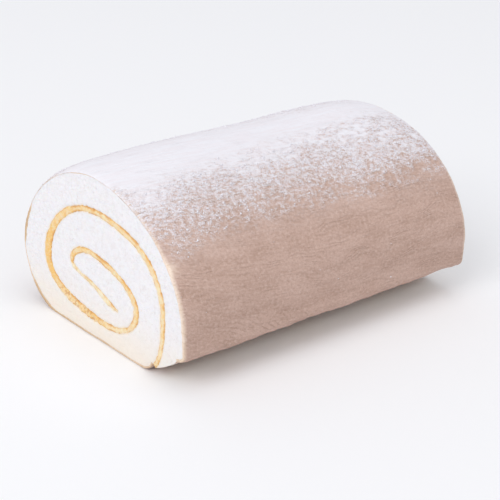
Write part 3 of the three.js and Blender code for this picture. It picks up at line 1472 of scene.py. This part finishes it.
@dataclass(frozen=True)
class SugarFilm:
    """The powdered sugar on the skin: full on the crown, and thinner down both sides."""

    roll: Roll
    in_front: Stations = (
        (0.0, 1.02), (11.0, 0.98), (20.0, 0.89), (28.0, 0.77), (36.0, 0.55), (44.0, 0.39), (52.0, 0.25),
        (60.0, 0.09), (69.0, 0.0),
    )
    at_back: Stations = (
        (0.0, 0.98), (11.0, 0.90), (20.0, 0.80), (28.0, 0.71), (36.0, 0.68), (44.0, 0.52), (52.0, 0.26),
        (60.0, 0.09), (69.0, 0.0),
    )
    back_from: Pair = (0.2, 0.95)
    drift: Bumps = Bumps(61, 3.0, (60.0, 40.0), 2, (3.1, 0.0))
    veil: float = 4.0
    veil_depth: float = 7.0
    knife_loss: float = 0.3
    knife_depth: float = 2.5
    knife_side: Pair = (-8.0, -18.0)
    loose: Window = Window(0.0, 0.35, 0.7, 1.05)
    patches: Bumps = Bumps(61, 0.1, (7.0, 12.0))
    clumps: Bumps = Bumps(62, 1.0, (1.6, 2.4))
    clump_height: float = 0.15
    clump_height_at_back: float = 0.17
    spilt_over: Pair = (92.0, 84.0)
    dusted_heel: Window = Window(124.0, 132.0, 166.0, 174.0)
    heel_dust: float = 0.9

    def cover(self, run: Array, behind: Array) -> Array:
        """Works out how much sugar covers the skin.

        Args:
            run: Where along the skin's section.
            behind: How far back.

        Returns:
            The cover, from 0 for bare to 1 for full.
        """
        from_crest = run - self.roll.crest_run
        veil = self.veil * np.exp(-behind / self.veil_depth)
        away = np.abs(from_crest) + self.drift.at(run, behind) - veil
        back = smooth_step(*self.back_from, behind / self.roll.length)
        cover = eased(self.in_front, away) * (1 - back) + eased(self.at_back, away) * back
        knocked_off = self.knife_loss * np.exp(-behind / self.knife_depth)
        cover -= knocked_off * smooth_step(*self.knife_side, from_crest)
        clumps = (self.clump_height + self.clump_height_at_back * back) * self.clumps.at(run, behind)
        stray = self.patches.at(run, behind) + clumps
        return np.clip(cover + stray * self.loose.at(cover), 0.0, 1.0)

    def on_edge(self, run: Array, end: float) -> Array:
        """Works out how much sugar lies on the skin's cut edge.

        Args:
            run: Where along the skin's section.
            end: How far back the cut is.

        Returns:
            The cover along the edge.
        """
        spilt = self.cover(run, np.full(run.shape, end)) * smooth_step(*self.spilt_over, run)
        return spilt + self.heel_dust * self.dusted_heel.at(run)


@dataclass(frozen=True)
class Creases:
    """The slanting creases low on the side, near the front cut."""

    period: float = 2.5
    slant: float = 0.62
    wander: Bumps = Bumps(63, 1.1, (9.0, 15.0), 2, (0.0, 31.0))
    breaks: Bumps = Bumps(62, 1.0, (6.0, 9.0), 2, (0.0, 11.0))
    wave_from: Pair = (0.1, 1.0)
    breaks_from: Pair = (-0.4, 0.5)
    runs: Window = Window(4.0, 8.0, 13.0, 22.0)
    depths: Window = Window(12.0, 24.0, 44.0, 66.0)

    def at(self, run: Array, behind: Array) -> Array:
        """Works out how deep in a crease the skin lies.

        Args:
            run: Where along the skin's section.
            behind: How far back.

        Returns:
            The depth, from 0 to 1.
        """
        phase = (run + self.slant * behind) / self.period + self.wander.at(run, behind)
        crease = smooth_step(*self.wave_from, np.sin(FULL_TURN * phase))
        crease *= smooth_step(*self.breaks_from, self.breaks.at(run, behind))
        return crease * self.runs.at(run) * self.depths.at(behind)


@dataclass
class BrownedSkin:
    """The thin browned skin round the sponge, with the sugar film that lies on it."""

    roll: Roll
    rim: CutRim
    film: SugarFilm
    finish: bpy.types.Material
    creases: Creases = Creases()
    spacing: float = 0.74
    base_spacing: float = 2.4
    inner_spacing: float = 3.2
    toe_points: int = 14
    near_cut: tuple[float, ...] = (0.0, 0.3, 0.8)
    first_row: float = 1.5
    tuck: float = 0.4
    edge_steps: tuple[tuple[float, float, float], ...] = (
        (0.45, 0.0, 0.02), (1.0, 0.0, -0.02), (1.0, 1.0, -0.45),
    )
    edge_fade: float = 0.4
    lining_run_margin: float = 0.3
    lining_margin: float = 0.9
    grain_fall: float = 15.0
    grain_fall_depth: float = 50.0
    tint_reach: float = 1.5
    tint_strength: float = 0.8
    spot_run: float = 46.5
    spot_size: Pair = (3.0, 3.2)
    spot_strength: float = 0.7
    swell: Bumps = Bumps(61, 0.35, (26.0, 34.0), 3)
    fibres: Bumps = Bumps(63, 0.06, (1.5, 16.0))
    strands: Bumps = Bumps(63, 0.06, (2.6, 15.0), 1, (0.0, 31.0))
    crumbs: Bumps = Bumps(62, 0.07, (1.9, 2.2), 2, (40.0, 0.0))
    crease_depth: float = 0.36
    film_height: float = 0.24
    film_from: Pair = (0.1, 0.9)
    flat_before_heel: Pair = (14.0, 2.0)
    rounding: float = 0.3
    rounding_reach: float = 1.0
    knife_reach: float = 3.0
    jags: Bumps = Bumps(62, 0.09, (1.3, 1.0), 2, (0.0, 4.5))

    def across(self, run: Array, behind: Array) -> Array:
        """Measures across the grain, which falls away from the front cut and then runs along the roll."""
        return run + self.grain_fall * (1.0 - np.exp(-behind / self.grain_fall_depth))

    def to_cut(self, behind: Array) -> Array:
        """Gives the distance to the nearer cut."""
        return np.minimum(behind, self.roll.length - behind)

    def edge_tint(self, run: Array, behind: Array) -> Array:
        """Works out how far the warm tint of the cut edge reaches onto the surface, with one larger spot.

        Args:
            run: Where along the skin's section.
            behind: How far back.

        Returns:
            The share of the edge's colour.
        """
        beside, back = (run - self.spot_run) / self.spot_size[0], behind / self.spot_size[1]
        spot = np.exp(-(beside**2) - back**2)
        near = self.tint_strength * np.clip(1.0 - self.to_cut(behind) / self.tint_reach, 0.0, 1.0)
        return np.clip(near + self.spot_strength * spot, 0.0, 1.0)

    def height(self, run: Array, behind: Array) -> Array:
        """Works out how far the skin's surface stands out from the roll's form.

        Args:
            run: Where along the skin's section.
            behind: How far back.

        Returns:
            The height in millimetres.
        """
        across = self.across(run, behind)
        height = self.swell.at(run, behind) + self.crumbs.at(run, behind)
        height += self.fibres.at(across, behind) + self.strands.at(across, behind)
        height -= self.crease_depth * self.creases.at(run, behind)
        height += self.film_height * smooth_step(*self.film_from, self.film.cover(run, behind))
        start, full = (self.roll.heel_run - before for before in self.flat_before_heel)
        return height * (1.0 - smooth_step(start, full, run))

    def surface(self, run: Array, behind: Array, above: Array | float = 0.0) -> Array:
        """Gives points of the skin's outer surface.

        Args:
            run: Where along the skin's section.
            behind: How far back.
            above: How far above the surface.

        Returns:
            The points (x, y, z) in metres.
        """
        to_cut = self.to_cut(behind)
        rounding = self.rounding * np.clip(1.0 - to_cut / self.rounding_reach, 0.0, 1.0) ** 2
        lift = self.height(run, behind) - rounding + above
        section = self.roll.skin_point(run) + self.roll.skin_outwards(run) * lift[..., None]
        section[..., 1] = np.maximum(section[..., 1], 0.0)
        jags = self.jags.at(run)
        front = self.roll.cut_behind(Cut.FRONT, section, jags)
        back = self.roll.cut_behind(Cut.BACK, section, jags) - self.roll.length
        moved = np.where(behind < self.roll.length / 2, front, back)
        moved = moved * np.clip(1.0 - to_cut / self.knife_reach, 0.0, 1.0) ** 2
        return self.roll.place(section, behind + moved)

    def runs(self) -> Array:
        """Steps along the skin, coarser on the base.

        Returns:
            The run at each step.
        """
        heel, toe = self.roll.heel_run, self.roll.toe_run
        shown = np.linspace(0.0, heel, int(heel / self.spacing))
        base = np.linspace(heel, toe, int((toe - heel) / self.base_spacing))
        end = np.linspace(toe, self.roll.skin_length, self.toe_points)
        return np.concatenate([shown, base[1:], end[1:]])

    def add_outside(self, draft: MeshDraft) -> Array:
        """Adds the outer surface and the cut edges at both ends.

        Args:
            draft: The mesh that they are added to.

        Returns:
            The points' numbers, in rows along the skin and columns from cut to cut.
        """
        roll, runs = self.roll, self.runs()
        rows = np.linspace(self.first_row, roll.length - self.first_row, int(roll.length / self.spacing))
        near_cut = np.array(self.near_cut)
        stations = np.r_[near_cut, rows, roll.length - near_cut[::-1]]
        run, behind = np.meshgrid(runs, stations, indexing="ij")
        width, toast = self.rim.width_at(runs), self.rim.brown_at(runs)
        surface = draft.add_points(
            self.surface(run, behind),
            along=behind, across=self.across(run, behind), sugar=self.film.cover(run, behind),
            # crease carries the creases' depth to the finish, which darkens them as painted shade.
            rim=self.edge_tint(run, behind), toast=toast[:, None], crease=self.creases.at(run, behind),
        )
        edges: dict[Cut, list[Array]] = {cut: [] for cut in Cut}
        for cut, rings in edges.items():
            end = 0.0 if cut is Cut.FRONT else roll.length
            across, sugar = self.across(runs, np.full(runs.shape, end)), self.film.on_edge(runs, end)
            for share, sunk, height in self.edge_steps:
                depth = (width * share + self.tuck * sunk)[:, None]
                section = roll.skin_point(runs) - roll.skin_outwards(runs) * depth
                rings.append(draft.add_points(
                    roll.place(section, roll.cut_behind(cut, section, height)),
                    along=end, across=across, sugar=sugar * (1.0 - share),
                    rim=1.0, toast=toast * (1.0 - self.edge_fade * share), crease=0.0,
                ))
        return np.stack([*edges[Cut.FRONT][::-1], *surface.T, *edges[Cut.BACK]], axis=1)

    def add_lining(self, draft: MeshDraft) -> Array:
        """Adds the hidden inner side.

        Args:
            draft: The mesh that it is added to.

        Returns:
            The points' numbers, in rows along the skin and columns from cut to cut.
        """
        roll = self.roll
        first, last = self.lining_run_margin, roll.skin_length - self.lining_run_margin
        runs = np.linspace(first, last, int(roll.skin_length / self.inner_spacing))
        columns = int(roll.length / (2 * self.inner_spacing))
        stations = np.linspace(self.lining_margin, roll.length - self.lining_margin, columns)
        run, behind = np.meshgrid(runs, stations, indexing="ij")
        depth = self.rim.width_at(runs)[:, None, None] + self.tuck
        return draft.add_points(
            roll.place(roll.skin_point(run) - roll.skin_outwards(run) * depth, behind),
            along=behind, across=run, sugar=0.0, rim=1.0, toast=0.0, crease=0.0,
        )

    def build(self) -> bpy.types.Object:
        """Builds the piece as a closed shell.

        Returns:
            The piece.
        """
        draft = MeshDraft()
        outside = self.add_outside(draft)
        lining = self.add_lining(draft)
        draft.add_grid(outside, flipped=True)
        draft.add_grid(lining)
        draft.add_strip(outside[:, 0], lining[:, 0])
        draft.add_strip(outside[:, -1], lining[:, -1], flipped=True)
        draft.add_strip(outside[0], lining[0], flipped=True)
        draft.add_strip(outside[-1], lining[-1])
        piece = draft.build("browned_skin", self.finish)
        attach(piece, "root")
        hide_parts("sponge")
        return piece


def octahedron() -> tuple[Array, Array]:
    """Gives an octahedron of radius 1.

    Returns:
        Its corners and its faces.
    """
    corners = np.array([(1, 0, 0), (-1, 0, 0), (0, 1, 0), (0, -1, 0), (0, 0, 1), (0, 0, -1)], float)
    faces = [(0, 2, 4), (2, 1, 4), (1, 3, 4), (3, 0, 4), (2, 0, 5), (1, 2, 5), (3, 1, 5), (0, 3, 5)]
    return corners, np.array(faces)


def icosahedron() -> tuple[Array, Array]:
    """Gives an icosahedron of radius 1.

    Returns:
        Its corners and its faces.
    """
    golden = (1 + math.sqrt(5)) / 2
    corners = []
    for a in (-1, 1):
        for b in (-golden, golden):
            corners += [(a, b, 0), (0, a, b), (b, 0, a)]
    points = np.array(corners, float)
    points /= np.linalg.norm(points[0])
    side = np.min(np.linalg.norm(points[1:] - points[0], axis=1)) * 1.01
    faces = []
    for three in combinations(range(len(points)), 3):
        a, b, c = points[list(three)]
        if max(np.linalg.norm(a - b), np.linalg.norm(b - c), np.linalg.norm(c - a)) < side:
            i, j, k = three
            faces.append((i, k, j) if np.dot(np.cross(b - a, c - a), a) < 0 else three)
    return points, np.array(faces)


@dataclass(frozen=True)
class ClumpKind:
    """One kind of clump: how many there are, their least and greatest radius, and their shape."""

    count: int
    least: float
    greatest: float
    shape: Callable[[], tuple[Array, Array]]


@dataclass
class SugarClumps:
    """Grains and clumps of powdered sugar that stand on the skin where its film thins out."""

    skin: BrownedSkin
    finish: bpy.types.Material
    kinds: tuple[ClumpKind, ...] = (
        ClumpKind(8000, 0.16, 0.32, octahedron),
        ClumpKind(1500, 0.26, 0.54, icosahedron),
    )
    seed: int = 101
    tries_each: int = 14
    run_margin: float = 4.0
    cut_margin: float = 0.5
    fringe: Window = Window(0.12, 0.7, 0.7, 0.92)
    bare_below: float = 0.05
    lone_chance: float = 0.0015
    size_bias: float = 2.2
    stand: float = 0.35
    corner_spread: Pair = (0.65, 1.3)
    axis_spread: Pair = (0.7, 1.2)

    def spots(self, count: int, draw: np.random.Generator) -> tuple[Array, Array]:
        """Picks where the grains lie.

        Args:
            count: How many to pick.
            draw: The source of the draws.

        Returns:
            Their runs and how far back they lie.
        """
        roll, tries = self.skin.roll, count * self.tries_each
        run = draw.uniform(self.run_margin, roll.heel_run - self.run_margin, tries)
        behind = draw.uniform(self.cut_margin, roll.length - self.cut_margin, tries)
        cover = self.skin.film.cover(run, behind)
        chance = self.fringe.at(cover) + np.where(cover < self.bare_below, self.lone_chance, 0.0)
        kept = draw.uniform(0.0, 1.0, tries) < chance
        return run[kept][:count], behind[kept][:count]

    def build(self) -> bpy.types.Object:
        """Builds the piece as one mesh.

        Returns:
            The piece.
        """
        draw = np.random.default_rng(self.seed)
        draft = MeshDraft()
        for kind in self.kinds:
            run, behind = self.spots(kind.count, draw)
            corners, faces = kind.shape()
            share = draw.uniform(0.0, 1.0, len(run)) ** self.size_bias
            size = kind.least + (kind.greatest - kind.least) * share
            middle = self.skin.surface(run, behind, size * self.stand)
            uneven = draw.uniform(*self.corner_spread, (len(run), len(corners), 1))
            flat = draw.uniform(*self.axis_spread, (len(run), 1, 3))
            points = middle[:, None] + corners[None] * uneven * flat * size[:, None, None] * MM
            numbers = draft.add_points(points)
            draft.faces.extend(numbers[:, faces].reshape(-1, 3).tolist())
        piece = draft.build("sugar_clumps", self.finish, 180.0)
        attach(piece, "root")
        return piece


@dataclass(frozen=True)
class Softbox:
    """A square light that faces the cake: where it stands, in degrees and metres, its side and its power."""

    name: str
    azimuth_deg: float
    elevation_deg: float
    distance: float
    side: float
    watts: float


@dataclass(frozen=True)
class Studio:
    """The pale floor, the soft lights and the camera."""

    azimuth_deg: float = -38.5
    elevation_deg: float = 23.5
    distance: float = 0.6956
    target: tuple[float, float, float] = (0.0026, -0.00065, 0.0221)
    lens_mm: float = 106.7
    clip: Pair = (0.01, 100.0)
    floor_size: float = 60.0
    floor_colour: Colour = (0.93, 0.93, 0.94)
    sky_colour: Colour = (0.95, 0.96, 1.0)
    sky_strength: float = 0.615
    aim_height: float = 0.04
    softboxes: tuple[Softbox, ...] = (
        Softbox("key", -75.0, 42.0, 4.0, 2.75, 66.0),
        Softbox("overhead", 20.0, 80.0, 3.75, 3.5, 32.0),
    )

    def towards(self, azimuth_deg: float, elevation_deg: float) -> Vector:
        """Gives the direction from the cake to a place round it. Azimuth 0 is in front, at -Y."""
        a, e = math.radians(azimuth_deg), math.radians(elevation_deg)
        return Vector((math.sin(a) * math.cos(e), -math.cos(a) * math.cos(e), math.sin(e)))

    def add_facing(self, name: str, data: bpy.types.ID, place: Vector, back: Vector) -> bpy.types.Object:
        """Adds a camera or a light that looks at the cake.

        Args:
            name: The object's name.
            data: The camera's or light's data.
            place: Where it stands.
            back: The direction from the cake to it.

        Returns:
            The new object.
        """
        holder = bpy.data.objects.new(name, data)
        holder.location = place
        holder.rotation_euler = (-back).to_track_quat("-Z", "Y").to_euler()
        bpy.context.scene.collection.objects.link(holder)
        return holder

    def add_camera(self) -> None:
        """Adds the camera."""
        lens = bpy.data.cameras.new("camera")
        lens.lens = self.lens_mm
        lens.clip_start, lens.clip_end = self.clip
        back = self.towards(self.azimuth_deg, self.elevation_deg)
        place = Vector(self.target) + back * self.distance
        bpy.context.scene.camera = self.add_facing("camera", lens, place, back)

    def add_light(self, box: Softbox) -> None:
        """Adds a softbox.

        Args:
            box: The softbox.
        """
        lamp = bpy.data.lights.new(box.name, "AREA")
        lamp.size, lamp.energy = box.side, box.watts
        back = self.towards(box.azimuth_deg, box.elevation_deg)
        self.add_facing(box.name, lamp, back * box.distance + Vector((0.0, 0.0, self.aim_height)), back)

    def add_floor(self) -> None:
        """Adds the floor."""
        half = self.floor_size / 2
        corners = [(-half, -half, 0), (half, -half, 0), (half, half, 0), (-half, half, 0)]
        mesh = bpy.data.meshes.new("floor")
        mesh.from_pydata(corners, [], [(0, 1, 2, 3)])
        mesh.materials.append(Recipe("pale_floor").finish(Base_Color=self.floor_colour, Roughness=0.8))
        floor = bpy.data.objects.new("floor", mesh)
        bpy.context.scene.collection.objects.link(floor)

    def build(self) -> None:
        """Builds the whole studio."""
        scene = bpy.context.scene
        scene.view_settings.view_transform = "Standard"
        world = bpy.data.worlds.new("studio")
        world.use_nodes = True
        sky = world.node_tree.nodes["Background"].inputs
        sky["Color"].default_value = (*self.sky_colour, 1.0)
        sky["Strength"].default_value = self.sky_strength
        scene.world = world
        self.add_floor()
        for box in self.softboxes:
            self.add_light(box)
        self.add_camera()


def main() -> None:
    """Builds the cake piece by piece."""
    logging.basicConfig(level=logging.INFO, format="%(name)s: %(message)s")
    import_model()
    low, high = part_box("sponge")
    roll = Roll(length=(high[0] - low[0]) / MM)
    finishes = (CrumbFinish(), SkinFinish(), CustardFinish(), SugarFinish())
    crumb, skin, custard, sugar = (finish.build() for finish in finishes)
    rim = CutRim()
    browned_skin = BrownedSkin(roll, rim, SugarFilm(roll), skin)
    parts: tuple[Callable[[], bpy.types.Object], ...] = (
        SpongeCrumb(roll, crumb, rim).build,
        browned_skin.build,
        CustardFilling(roll, custard).build,
        SugarClumps(browned_skin, sugar).build,
    )
    for make in parts:
        piece = make()
        LOG.info("%s: %d faces", piece.name, len(piece.data.polygons))
    Studio().build()


if __name__ == "__main__":
    main()
